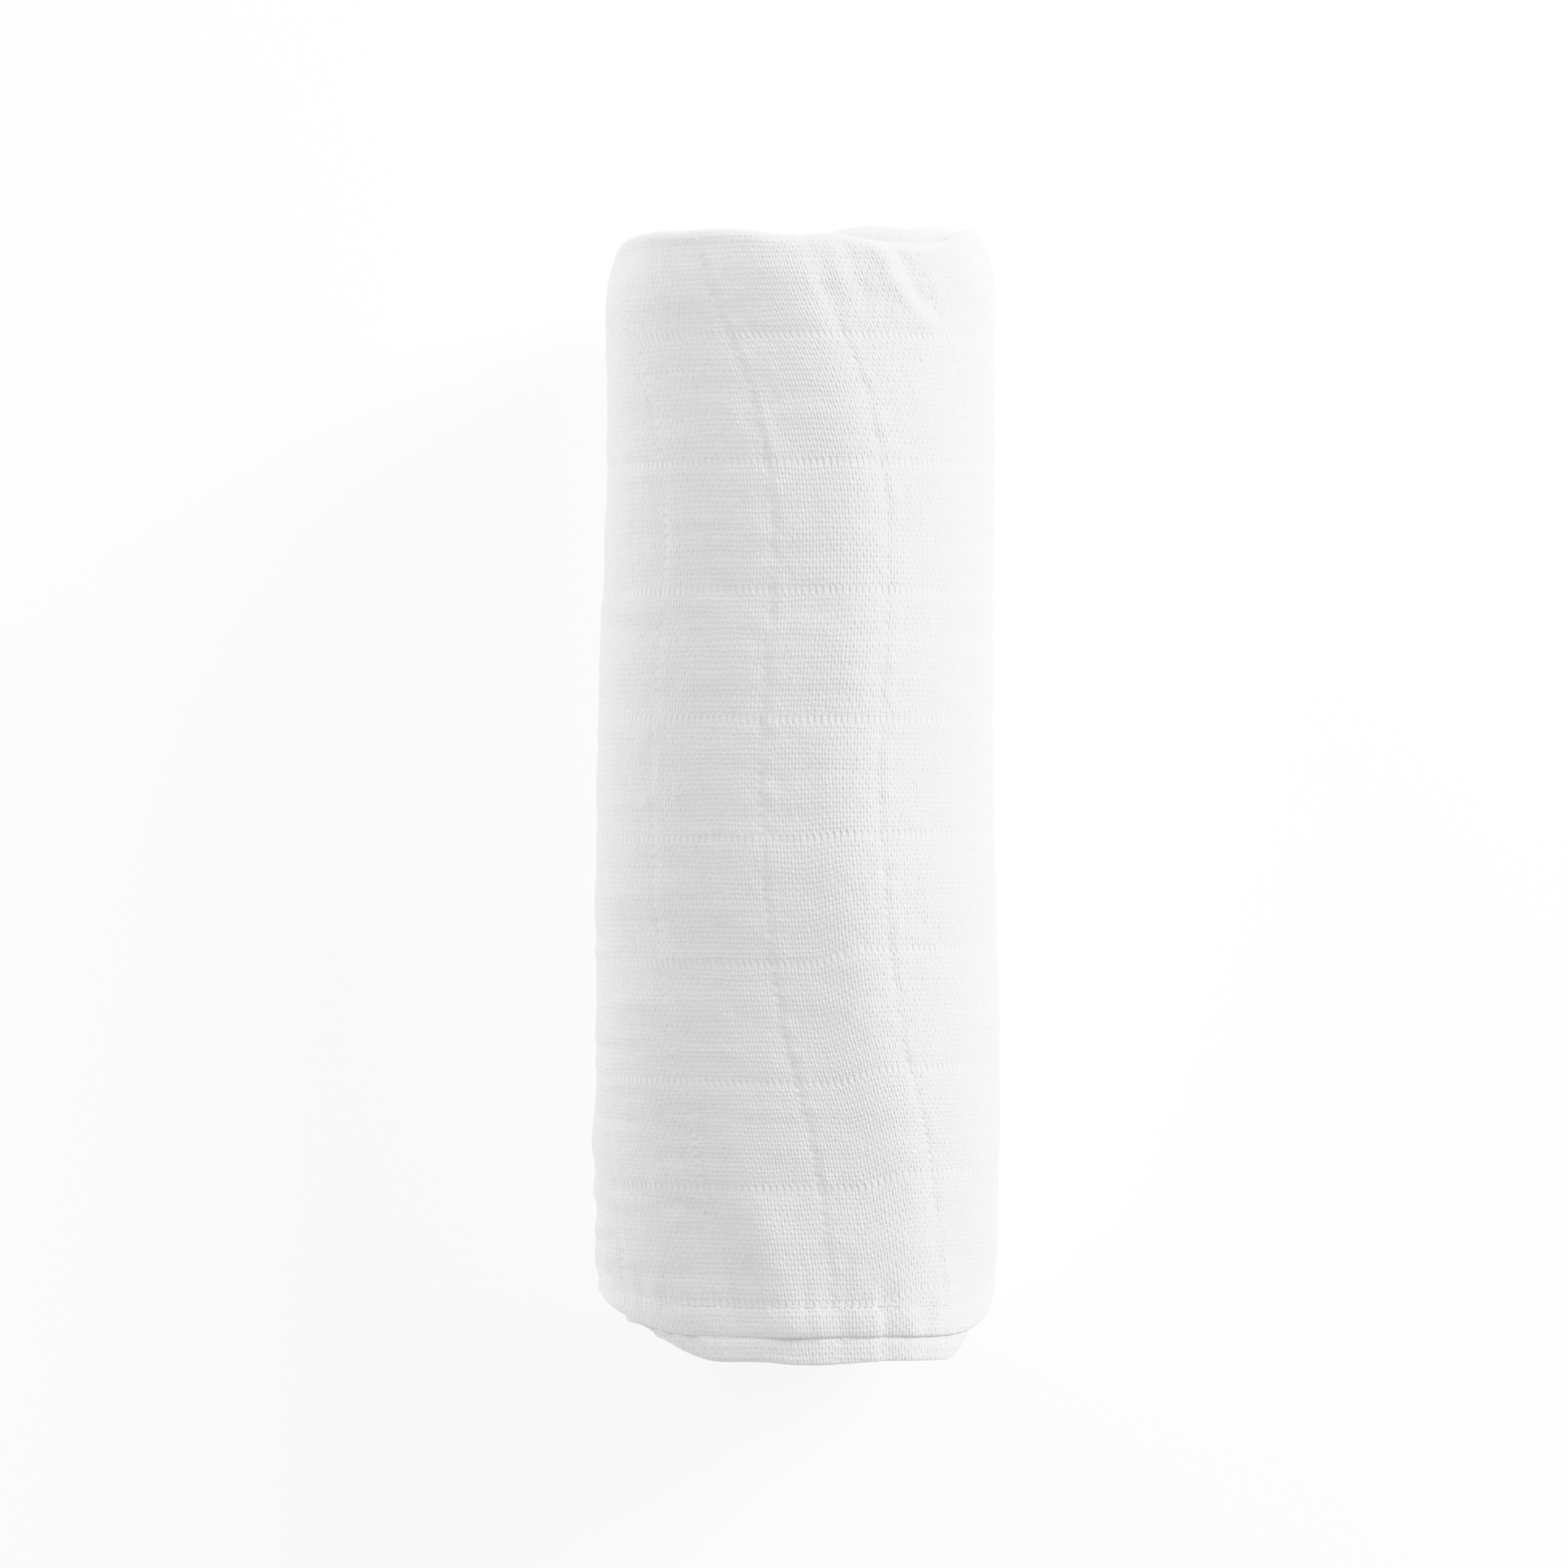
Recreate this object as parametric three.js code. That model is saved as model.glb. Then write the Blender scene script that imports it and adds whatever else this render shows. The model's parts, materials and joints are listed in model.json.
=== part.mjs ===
// A muslin baby wrap, stored the way it is sold and carried: the square cloth is folded twice
// into a strip of four plies, and the strip is rolled up and laid on its side.
//
// The roll's axis lies along Y, +Z is up, and the roll rests on z = 0. The strip's folded side
// faces +Y and its hemmed side faces -Y. Angles are in degrees in the XZ plane, from +X towards
// +Z. They fall along the cloth from its free end, on the lower left, over the top of the roll
// and on inwards to the core, by 360 for each turn.
import * as THREE from 'three';

// ---- Driving dimensions, in millimetres -----------------------------------------------------
const CLOTH_SIDE = 976;                 // the square cloth, washed
const PLIES = 4;                        // folded in half, and in half again
const STRIP_WIDTH = CLOTH_SIDE / PLIES;
const TURN_PITCH = 5.9;                 // one turn of the four-ply strip, at the roll's sides
const OUTER_REACH = 46.7;               // axis to outer face at the free end, towards the side
const TURN_THICK = 5.3;                 // the four plies where they are wound
const FLAP_THICK = 4.7;                 // and in the free flap, which leaves the label its room
const TOP_SHARE = 0.88;                 // the roll's height over its half width, above the axis
const BOTTOM_SHARE = 0.83;              // the same below the axis, where its weight presses it
const TOP_POWER = 2.15;                 // superellipse powers of the two halves
const BOTTOM_POWER = 2.4;
const FOOT_SHARE = 0.97;                // below this share of its depth the cloth is pressed flat
const FOOT_PRESS = 0.5;                 // and keeps this share of its thickness

const FREE_END = 216;                   // where the strip ends, low on the left
const FIRST_HINGE = 126;                // where the free flap leaves the roll
const FLAP_PANELS = 4;
const CORE_END = -2184;                 // where the strip starts, in the middle of the roll
const TURNS = ['second', 'third', 'fourth', 'fifth', 'sixth'];

const HEM_WIDTH = 8;                    // a turned-in edge
const THREAD = 0.6;                     // the row of stitches that holds it
const GAP = 0.3;                        // between touching pieces
const LABEL = { width: 11, length: 38, thick: 0.4, fromHem: 24 };
const SKEW = 6.8;                       // how far the second turn stands out past the outer one
const SKEW_BACK = 1.3;                  // how much of that each further turn gives back

const STEP = 12;                        // degrees between the points of a turn
const FLAP_STEP = 9;

// ---- The roll's cross-section ----------------------------------------------------------------
const { degToRad, radToDeg } = THREE.MathUtils;

// Distance from the axis to a flattened outline whose half width is 1.
function outline(angle) {
  const c = Math.abs(Math.cos(degToRad(angle)));
  const s = Math.sin(degToRad(angle));
  const share = s < 0 ? BOTTOM_SHARE : TOP_SHARE;
  const power = s < 0 ? BOTTOM_POWER : TOP_POWER;
  return (c ** power + (Math.abs(s) / share) ** power) ** (-1 / power);
}

// The strip's outer face winds inwards by one pitch a turn.
const reach = (angle) => OUTER_REACH - TURN_PITCH * (FREE_END - angle) / 360;
const FOOT = reach(-90) * BOTTOM_SHARE * FOOT_SHARE;

// A point of the cross-section, at a depth below the strip's outer face.
function section(angle, depth) {
  const far = (reach(angle) - depth) * outline(angle);
  const x = far * Math.cos(degToRad(angle));
  const z = far * Math.sin(degToRad(angle));
  return new THREE.Vector2(x, Math.max(z, depth * FOOT_PRESS - FOOT));
}

// The degrees that a length of the strip takes up at a place on it.
const degreesFor = (length, angle) => radToDeg(length / (reach(angle) * outline(angle)));

// Cloth between two angles, seen end on.
function arcShape({ start, end, depth = 0, thick, step = STEP }) {
  const count = Math.ceil((start - end) / step);
  const along = Array.from({ length: count + 1 }, (_, i) => start + (end - start) * i / count);
  const outer = along.map((angle) => section(angle, depth));
  const inner = along.map((angle) => section(angle, depth + thick));
  return new THREE.Shape([...outer, ...inner.reverse()]);
}

// ---- Materials -------------------------------------------------------------------------------
const muslin = new THREE.MeshStandardMaterial({ color: 0xf1f1f2, roughness: 0.92 });
const hemCloth = new THREE.MeshStandardMaterial({ color: 0xf4f4f5, roughness: 0.9 });
const cottonThread = new THREE.MeshStandardMaterial({ color: 0xfafafa, roughness: 0.7 });
const satin = new THREE.MeshStandardMaterial({ color: 0xf6f5f2, roughness: 0.45 });

// ---- Building blocks -------------------------------------------------------------------------
const wrap = new THREE.Group();

// An arc of cloth that runs along Y from low to high.
function add(name, arc, low, high, material) {
  const geometry = new THREE.ExtrudeGeometry(arcShape(arc), { depth: high - low, bevelEnabled: false });
  const mesh = new THREE.Mesh(geometry, material);
  mesh.name = name;
  mesh.rotation.x = Math.PI / 2;
  mesh.position.y = high;
  wrap.add(mesh);
}

// A stretch of the strip: its cloth, its hem at -Y and the stitches between them.
function addStretch(name, arc, low) {
  const cut = degreesFor(GAP, arc.start) / 2;
  const clear = { ...arc, start: arc.start - cut, end: arc.end + cut };
  const seam = low + HEM_WIDTH;
  const cloth = seam + THREAD + 2 * GAP;
  add(name, clear, cloth, low + STRIP_WIDTH, muslin);
  add(`${name}_side_hem`, clear, low, seam, hemCloth);
  add(`${name}_stitching`, { ...clear, thick: 2 * THREAD }, seam + GAP, cloth - GAP, cottonThread);
}

// ---- The wound turns -------------------------------------------------------------------------
// The outer turn lies towards +Y, and the turns inside it stand out past it at -Y.
const HALF_LENGTH = (STRIP_WIDTH + SKEW) / 2;
const outerLow = SKEW - HALF_LENGTH;
const lowOf = (turn) => SKEW_BACK * turn - HALF_LENGTH;
const secondStart = FREE_END - 360;

addStretch('outer_turn', { start: FIRST_HINGE, end: secondStart, thick: TURN_THICK }, outerLow);
TURNS.forEach((word, turn) => {
  const start = secondStart - 360 * turn;
  addStretch(`${word}_turn`, { start, end: start - 360, thick: TURN_THICK }, lowOf(turn));
});

// The innermost part turn ends in the hem that the rolling started from.
const coreStart = secondStart - 360 * TURNS.length;
const coreHem = CORE_END + degreesFor(HEM_WIDTH, coreStart);
const coreLow = lowOf(TURNS.length);
addStretch('core_turn', { start: coreStart, end: coreHem, thick: TURN_THICK }, coreLow);
const coreEnd = { start: coreHem - degreesFor(GAP, coreStart), end: CORE_END, thick: TURN_THICK };
add('core_end_hem', coreEnd, coreLow, coreLow + STRIP_WIDTH, hemCloth);

// ---- The free flap ---------------------------------------------------------------------------
// Four panels bend in turn where each meets the one before, along the outer face.
const hemStart = FREE_END - degreesFor(HEM_WIDTH, FREE_END);
const seamStart = hemStart - degreesFor(THREAD + 2 * GAP, FREE_END);
const gapAngle = degreesFor(GAP, FREE_END);
const panelAngle = (FREE_END - FIRST_HINGE) / FLAP_PANELS;
const flap = { thick: FLAP_THICK, step: FLAP_STEP };
const outerHigh = outerLow + STRIP_WIDTH;

for (let panel = 1; panel <= FLAP_PANELS; panel++) {
  const end = FIRST_HINGE + panelAngle * (panel - 1);
  const start = panel === FLAP_PANELS ? seamStart + gapAngle / 2 : end + panelAngle;
  addStretch(`flap_${panel}`, { ...flap, start, end }, outerLow);
}
add('free_end_hem', { ...flap, start: FREE_END, end: hemStart }, outerLow, outerHigh, hemCloth);
const seam = { start: hemStart - gapAngle, end: seamStart + gapAngle, thick: 2 * THREAD };
add('free_end_stitching', seam, outerLow, outerHigh, cottonThread);

// A blank satin label, caught in the free end's seam, lies under the last panel.
const labelStart = hemStart - gapAngle;
const labelArc = {
  start: labelStart,
  end: labelStart - degreesFor(LABEL.width, FREE_END),
  depth: FLAP_THICK + GAP,
  thick: LABEL.thick,
  step: FLAP_STEP,
};
const labelLow = outerLow + LABEL.fromHem;
add('care_label', labelArc, labelLow, labelLow + LABEL.length, satin);

// ---- Origin: the middle of the underside -----------------------------------------------------
const bounds = new THREE.Box3().setFromObject(wrap, true);
const middle = bounds.getCenter(new THREE.Vector3());
wrap.position.set(-middle.x, -middle.y, -bounds.min.z);

export default wrap;
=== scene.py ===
"""A white double-gauze muslin baby wrap, rolled up and lying on its side, seen from straight above.

The wrap is one square of cloth. It is folded in half twice, into a strip of four plies, and the
strip is wound into a roll along Y. A place on the strip is an angle, as in the CAD model: angles
are in degrees from +X towards +Z, and they fall from the free end, on the lower left, over the top
and on inwards to the core, by 360 for each turn. Lengths are in metres.
"""
import json
import math

import bpy
import numpy as np
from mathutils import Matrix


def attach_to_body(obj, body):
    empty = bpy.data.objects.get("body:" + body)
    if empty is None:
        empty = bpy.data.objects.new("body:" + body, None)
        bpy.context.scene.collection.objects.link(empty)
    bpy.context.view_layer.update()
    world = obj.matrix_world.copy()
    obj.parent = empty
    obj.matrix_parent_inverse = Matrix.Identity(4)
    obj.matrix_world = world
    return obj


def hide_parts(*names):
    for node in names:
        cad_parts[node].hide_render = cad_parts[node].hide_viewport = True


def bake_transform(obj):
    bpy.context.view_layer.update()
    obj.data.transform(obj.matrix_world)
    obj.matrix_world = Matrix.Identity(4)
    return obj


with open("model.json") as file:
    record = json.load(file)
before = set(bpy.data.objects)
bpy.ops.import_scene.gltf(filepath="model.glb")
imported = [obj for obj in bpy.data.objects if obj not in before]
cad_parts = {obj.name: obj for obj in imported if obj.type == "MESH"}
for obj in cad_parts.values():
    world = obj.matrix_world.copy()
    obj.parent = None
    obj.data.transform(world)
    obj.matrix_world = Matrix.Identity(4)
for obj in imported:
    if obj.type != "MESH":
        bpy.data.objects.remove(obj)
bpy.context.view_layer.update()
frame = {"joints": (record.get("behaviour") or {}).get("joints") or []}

MM = 0.001

# ---- Camera: straight above, far enough off that the roll's ends hardly spread -------------------
CAMERA_HEIGHT = 1.3
FOCAL_LENGTH_MM = 128.5
AIM = (-2.9 * MM, 2.7 * MM)


def add_camera():
    """A camera that looks straight down."""
    data = bpy.data.cameras.new("camera")
    data.lens = FOCAL_LENGTH_MM
    camera = bpy.data.objects.new("camera", data)
    camera.location = (*AIM, CAMERA_HEIGHT)
    bpy.context.collection.objects.link(camera)
    bpy.context.scene.camera = camera


# ---- The winding, with the CAD model's own driving dimensions ------------------------------------
STRIP_WIDTH = 244 * MM
PLIES = 4
TURN_PITCH = 5.9 * MM
OUTER_REACH = 46.7 * MM
INNERMOST_PLY = 4.6 * MM  # how deep the innermost of the four plies lies
PLY = INNERMOST_PLY / (PLIES - 1)
TOP_SHARE, BOTTOM_SHARE = 0.88, 0.83  # of the half width, to the roll's top and bottom
TOP_POWER, BOTTOM_POWER = 2.15, 2.4  # 2 would be an ellipse
FOOT_PRESS = 0.5  # how near the floor plies are pressed, as a share of their depth in the strip
FREE_END, FIRST_HINGE, CORE_END = 216.0, 126.0, -2184.0
SECOND_START = FREE_END - 360
FLAP_PANELS = 4
PANEL = (FREE_END - FIRST_HINGE) / FLAP_PANELS
CREST = 90.0  # the angle of the roll's top


def outline(angle):
    """How far the flattened outline is from the axis, where its half width is 1."""
    c, s = np.abs(np.cos(np.radians(angle))), np.sin(np.radians(angle))
    share = np.where(s < 0, BOTTOM_SHARE, TOP_SHARE)
    power = np.where(s < 0, BOTTOM_POWER, TOP_POWER)
    return (c**power + (np.abs(s) / share) ** power) ** (-1 / power)


def reach(angle):
    """The half width of the roll at the strip's outer face."""
    return OUTER_REACH - TURN_PITCH * (FREE_END - np.asarray(angle, float)) / 360


def bare_section(angle, depth=0.0):
    """x and z of a point about the roll's axis, before the floor presses it."""
    far = (reach(angle) - depth) * outline(angle)
    return far * np.cos(np.radians(angle)), far * np.sin(np.radians(angle))


def roll_axis():
    """Where the roll's axis is, from the first hinge, which lies on the outer face."""
    hinge = next(j for j in frame["joints"] if j["name"] == "flap_bend_1")
    x, z = bare_section(FIRST_HINGE)
    return hinge["pos_m"][0] - float(x), hinge["pos_m"][2] - float(z)


AXIS_X, AXIS_Z = roll_axis()

# The length of strip from the crest to each angle, growing towards the core.
ANGLES = np.arange(FREE_END, CORE_END - 1, -0.5)
_x, _z = bare_section(ANGLES)
_run = np.concatenate([[0], np.cumsum(np.hypot(np.diff(_x), np.diff(_z)))])
RUN = _run - np.interp(-CREST, -ANGLES, _run)


def run_at(angle):
    """The length of strip from the crest to an angle."""
    return np.interp(-np.asarray(angle, float), -ANGLES, RUN)


def angle_at(run):
    """The angle that lies a length of strip past the crest."""
    return np.interp(run, RUN, ANGLES)


# ---- Numbers that vary smoothly ------------------------------------------------------------------
def smooth(low, high, value):
    """0 below low, 1 above high, and an even S between them."""
    t = np.clip((value - low) / (high - low), 0, 1)
    return t * t * (3 - 2 * t)


def spline(points, at):
    """A smooth curve through (place, value) points, level beyond its ends."""
    points = sorted(points)
    x, y = np.array([p[0] for p in points], float), np.array([p[1] for p in points], float)
    slope = np.gradient(y, x)
    at = np.clip(at, x[0], x[-1])
    i = np.clip(np.searchsorted(x, at) - 1, 0, len(x) - 2)
    w = x[i + 1] - x[i]
    t = (at - x[i]) / w
    return (
        (2 * t**3 - 3 * t**2 + 1) * y[i]
        + (t**3 - 2 * t**2 + t) * w * slope[i]
        + (3 * t**2 - 2 * t**3) * y[i + 1]
        + (t**3 - t**2) * w * slope[i + 1]
    )


def eased(t):
    """t from 0 to 1, with no slope or bend at either end."""
    return t * t * t * (t * (6 * t - 15) + 10)


def hump(distance, half):
    """1 at distance 0, falling away evenly to both sides over about half."""
    return np.exp(-((distance / half) ** 2))


def noise(x, y, seed, octaves=2):
    """Smooth noise, from about -1 to 1, that varies over one unit of x and y."""
    size = 128
    table = np.random.default_rng(seed).uniform(-1, 1, (size, size))

    def corner(p, q):
        return table[p % size, q % size]

    x, y = np.broadcast_arrays(np.asarray(x, float), np.asarray(y, float))
    total, share = np.zeros(x.shape), 1.0
    for octave in range(octaves):
        u, v = x * 2**octave + 11.3 * octave, y * 2**octave + 7.7 * octave
        i, j = np.floor(u).astype(int), np.floor(v).astype(int)
        a, b = eased(u - i), eased(v - j)
        total += share * (
            (corner(i, j) * (1 - a) + corner(i + 1, j) * a) * (1 - b)
            + (corner(i, j + 1) * (1 - a) + corner(i + 1, j + 1) * a) * b
        )
        share *= 0.5
    return total


# ---- Where the strip's two sides lie, as (angle, millimetres along Y) ----------------------------
# Each list runs over the outer turn and on over the second, which stands out past it at -Y and
# peeps out behind it at +Y on the right. The turns inside those two drift and wave a little.
HEMMED_SIDE = [
    (216, -113), (190, -110.8), (175, -111.6), (160, -114.2), (148, -116.8), (137, -118.8), (115, -119.4),
    (90, -119.6), (60, -119.8), (40, -120.0), (30, -119.2), (20, -117.2), (6, -112.2), (-20, -112.5),
    (-60, -116), (-100, -119), (-144, -120), (-180, -118.5), (-205, -118.5), (-227, -121.8),
    (-239, -124.4), (-262, -125.2), (-282, -125.5), (-302, -125.2), (-316, -124.6),
    (-328, -123), (-338, -119.5), (-350, -117), (-400, -118), (-460, -121), (-540, -123),
]
FOLDED_SIDE = [
    (216, 121), (195, 120.5), (180, 122.6), (165, 124.8), (150, 125.6), (135, 125.4), (117, 125.3),
    (95, 123.7), (81, 124.0), (70, 122.9), (60, 122.4), (50, 122.3), (43, 122.7), (36, 124.0),
    (30, 125.9), (25, 126.8), (20, 126.2), (14, 124.6), (8, 122.6), (0, 119.5), (-30, 117.5),
    (-90, 118.5), (-144, 119), (-180, 117), (-227, 119.5), (-258, 121.5), (-275, 124.0),
    (-290, 126.0), (-304, 126.3), (-315, 126.2), (-326, 127.0), (-338, 127.4), (-347, 126.4),
    (-360, 121.5), (-400, 118), (-460, 119), (-540, 120),
]
LISTED_END = -540  # the angle where both lists end
TURN_DRIFT = 1.3 * MM  # how much further towards +Y each inner turn lies
HEM_WAVE, FOLD_WAVE = 0.9 * MM, 1.2 * MM


def drift(angle):
    """How far towards +Y a turn lies, past the end of the lists."""
    return np.clip(LISTED_END - angle, 0, None) / 360 * TURN_DRIFT


def hemmed_side(angle):
    """Where along Y the strip's hemmed side lies, at -Y."""
    return spline(HEMMED_SIDE, angle) * MM + drift(angle) + HEM_WAVE * noise(angle / 60, 0.3, 21)


def folded_side(angle):
    """Where along Y the strip's folded side lies, at +Y."""
    wave = FOLD_WAVE * smooth(-360, LISTED_END, angle) * noise(angle / 70, 0.7, 22)
    return spline(FOLDED_SIDE, angle) * MM + drift(angle) + wave


# ---- The roll's shape along Y: its width and height as (millimetres along Y, share) --------------
WIDTH_ALONG = [
    (-125, 1.0), (-100, 1.020), (-75, 1.026), (-40, 1.018), (15, 1.002), (80, 0.980), (107, 0.986),
    (123, 0.974),
]
HEIGHT_ALONG = [
    (-125, 0.905), (-112, 0.907), (-95, 0.920), (-60, 0.968), (-25, 0.998), (60, 1.0), (85, 0.990),
    (105, 0.965), (125, 0.925),
]
CORE_REACH, CORE_SAG = 26 * MM, 0.3  # the core droops by this share only, because it slides along Y
LEAN, LEAN_FROM, LEAN_TO = 1.1 * MM, 30 * MM, 100 * MM  # the end at +Y sits this far to the right
END_ROUND, END_DROP = 13 * MM, 0.025  # both ends close in a little over their last stretch
FLOOR_BLEND = 0.8 * MM  # how gently the cloth meets the floor
FLOOR_LOW, FLOOR_HIGH = -6 * MM, 0.2 * MM  # heights that end on the floor, and those left alone


def place(angle, y, depth):
    """The point of the roll at an angle, a place along Y and a depth below the strip's outer face."""
    x, z = bare_section(angle, depth)
    over = np.clip((np.abs(y) - (STRIP_WIDTH / 2 - END_ROUND)) / END_ROUND, 0, 1)
    close = 1 - END_DROP * over**2.5
    x = AXIS_X + x * close * spline(WIDTH_ALONG, y / MM) + LEAN * smooth(LEAN_FROM, LEAN_TO, y)
    share = CORE_SAG + (1 - CORE_SAG) * smooth(CORE_REACH, OUTER_REACH, reach(angle) - depth)
    sag = (1 - spline(HEIGHT_ALONG, y / MM)) * share
    z = AXIS_Z + z * close * np.where(z > 0, 1 - sag, 1)
    foot = np.clip(depth, 0, None) * FOOT_PRESS
    return np.stack([x, y, foot + soft_floor(z - foot)], axis=-1)


def soft_floor(z):
    """z, but never below 0, and rounded where it meets it."""
    return 0.5 * (z + np.sqrt(z * z + FLOOR_BLEND**2)) * smooth(FLOOR_LOW, FLOOR_HIGH, z)


# ---- The weave's windows -------------------------------------------------------------------------
PANE_ACROSS = 25.7 * MM
PANE_ALONG = 27.5 * MM
FIRST_LINE = -9.4 * MM  # the run where a grid line crosses the middle of the crest
FIRST_ROW = 101.4 * MM  # where along Y the first row lies
BUNCH = [  # (millimetres along Y, how far the rows are moved along Y)
    (100, 0), (45, -1.2), (17, -2.0), (-10, -0.9), (-37, -0.8), (-63, 0.5), (-86, 4.8), (-115, 7),
]
SKEW = [  # (millimetres along Y, how far the lines are moved round the roll)
    (-125, 17.5), (-104, 15.2), (-75, 10.7), (-50, 4.5), (-30, 1.8), (-5, 0), (74, 0), (89, -3.6),
    (114, -14.3), (125, -18),
]
ROW_STEP = 3.6 * MM


def cloth_uv(run, y, along):
    """Where a point lies in the cloth, from one crossing of the grid's lines, in metres.

    The lines run along Y, but the cloth was pulled askew as it was rolled. The rows run round
    the roll, are bunched near the hem and step up past the second line.
    """
    across = run - FIRST_LINE - spline(SKEW, y / MM) * MM
    bunch = spline(BUNCH, y / MM) * MM
    step = ROW_STEP * smooth(8 * MM, 20 * MM, across) * smooth(12 * MM, -40 * MM, y)
    return across, along - FIRST_ROW - bunch - step


# ---- Relief of the outer turn --------------------------------------------------------------------
# Creases fan out from the folded end on the right, and others run in from the hem and from the left
# side. Each goes from one (x, y) to another, in millimetres, with its bow to one side, its height
# (below 0 for a valley) and its half width. CREASE_SIZE scales all the heights.
CREASE_SIZE = 0.62 * MM
CREASES = [
    ((-5, 123), (6, 96), 0, 0.20, 2.4),
    ((2, 119), (10.5, 98), 0.5, -0.50, 1.4),
    ((5, 124), (10, 111), 0, 0.45, 1.6),
    ((10, 121), (15, 108), 0, -0.55, 1.4),
    ((16, 124), (32.5, 103), -3.0, 0.95, 2.2),
    ((22, 124), (36, 102), -2.5, -0.95, 1.9),
    ((33, 125), (41, 108), -1.5, 0.55, 2.6),
    ((-1, -118), (-18, -78), 0, 1.7, 6.5),
    ((-17, -118), (-24, -82), 0, -1.2, 6.0),
    ((4, -127), (5, -106), 0.8, 0.45, 1.7),
    ((10, -127), (9.5, -106), -0.5, -0.45, 1.5),
    ((14.5, -127), (13.5, -103), 0.6, 0.45, 1.6),
    ((18, -127), (17, -108), 0, 0.60, 1.3),
    ((21, -127), (20, -108), 0.3, -0.75, 1.3),
    ((25, -127), (24, -106), 0, 0.45, 1.7),
    ((29, -127), (28, -106), 0.5, -0.35, 1.5),
    ((34, -127), (30, -100), 0, 0.55, 2.4),
    ((-46, -85), (-20, -92), 0, -0.55, 1.5),
    ((-46, -96), (-28, -99), 0, 0.45, 2.2),
    ((-46, -72), (-27, -74), 0, -0.40, 1.7),
    ((-46, -38), (-25, -41), 0, -0.40, 1.9),
    ((-46, -24), (-28, -24), 0, 0.30, 2.2),
]


def crease_height(x, y):
    """All the creases together. Each wanders a little and fades out at its far end."""
    total = np.zeros(np.broadcast(x, y).shape)
    for (x0, y0), (x1, y1), bow, height, half in CREASES:
        dx, dy = x1 - x0, y1 - y0
        length = math.hypot(dx, dy)
        along = ((x / MM - x0) * dx + (y / MM - y0) * dy) / length
        beside = ((x / MM - x0) * dy - (y / MM - y0) * dx) / length
        share = along / length
        wander = noise(along / 8, height * 7, 31) + 4 * bow * share * (1 - share)
        fade = smooth(-4, 1, along) * smooth(length + 6, length * 0.5, along)
        total += height * fade * hump(beside + wander, half)
    return total * CREASE_SIZE


def off_repeat(value, pitch):
    """How far value is from the nearest whole number of pitches, with its sign."""
    return (value + pitch / 2) % pitch - pitch / 2


def line_relief(across, along):
    """A narrow valley at each grid line, with small puckers beside it. The first two are deepest."""
    line = np.floor(across / PANE_ACROSS + 0.5)
    off = off_repeat(across, PANE_ACROSS) / MM + 0.5 * noise(along / (4 * MM), line, 33, 3)
    valley = (-0.27 + 0.14 * noise(along / (2.4 * MM), line, 35)) * hump(off, 0.7)
    lift = 0.20 * noise(along / (3.1 * MM), line + 0.5, 34) + 0.09
    lips = lift * (hump(off - 1.8, 1.3) - 0.5 * hump(off + 1.9, 1.3))
    share = np.where(np.abs(line - 0.5) < 1, 0.85, 0.3)
    return (valley + lips) * share * MM


def row_relief(along):
    """A shallow groove at each row."""
    return -ROW_GROOVE * hump(off_repeat(along, PANE_ALONG), 1.1 * MM)


# The heights of the relief's other parts. The ripples have a height of their own, more of it down
# the left side, and only a share of that more in the +Y half.
BODY_HEIGHT, PUFF_HEIGHT = 0.55 * MM, 0.16 * MM
CRINKLE_HEIGHT, PUCKER_HEIGHT = 0.085 * MM, 0.18 * MM
RIPPLE_HEIGHT, LEFT_RIPPLE, UPPER_SHARE = 0.10 * MM, 0.26 * MM, 0.35
RIDGE_HEIGHT, RIDGE_BEFORE_LINE, RIDGE_HALF = 1.2 * MM, 6 * MM, 10 * MM
ROW_GROOVE = 0.12 * MM
PUCKERS_FROM_HEM = 8.5 * MM
BAND_RISE = 1.4 * MM
PLY_RELIEF = (1, 0.6, 0.3, 0.12)  # the share of the relief that each ply takes, from the outermost
INNER_RELIEF = 0.35  # the share that the turns inside the outer one take


def relief(angle, y, across, along):
    """How far the outer face stands out from the plain roll."""
    run = run_at(angle)
    x = np.cos(np.radians(angle)) * reach(angle)
    left = smooth(-14 * MM, -40 * MM, x)
    low = smooth(10 * MM, -70 * MM, y)
    ends = smooth(124 * MM, 112 * MM, np.abs(y))
    body = BODY_HEIGHT * ends * noise(run / (48 * MM), y / (60 * MM), 41)
    pane = np.abs(np.sin(np.pi * across / PANE_ACROSS) * np.sin(np.pi * along / PANE_ALONG))
    ripple_height = RIPPLE_HEIGHT + LEFT_RIPPLE * left * (UPPER_SHARE + low)
    ripple = ripple_height * noise(run / (38 * MM), y / (5.2 * MM), 42)
    crinkle = CRINKLE_HEIGHT * noise(run / (6 * MM), y / (5 * MM), 43, 3)
    from_hem = y - hemmed_side(angle)
    near_hem = hump(from_hem - PUCKERS_FROM_HEM, 5 * MM)
    pucker = PUCKER_HEIGHT * near_hem * noise(run / (2.3 * MM), from_hem / (9 * MM), 44)
    ridge = RIDGE_HEIGHT * hump(across - PANE_ACROSS + RIDGE_BEFORE_LINE, RIDGE_HALF)
    top = smooth(-8, 20, angle) * smooth(196, 168, angle)
    return (
        body
        + PUFF_HEIGHT * pane
        + ripple
        + crinkle
        + pucker
        + top * (crease_height(x, y) + ridge)
        + line_relief(across, along)
        + row_relief(along)
    )


def band_rise(angle, y, depth):
    """How far the ply under the outermost rises once it is clear of the outer hem."""
    edge = hemmed_side(angle)
    return BAND_RISE * smooth(edge + 0.9 * MM, edge - 0.3 * MM, y) * smooth(0.3 * PLY, PLY, depth)


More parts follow.
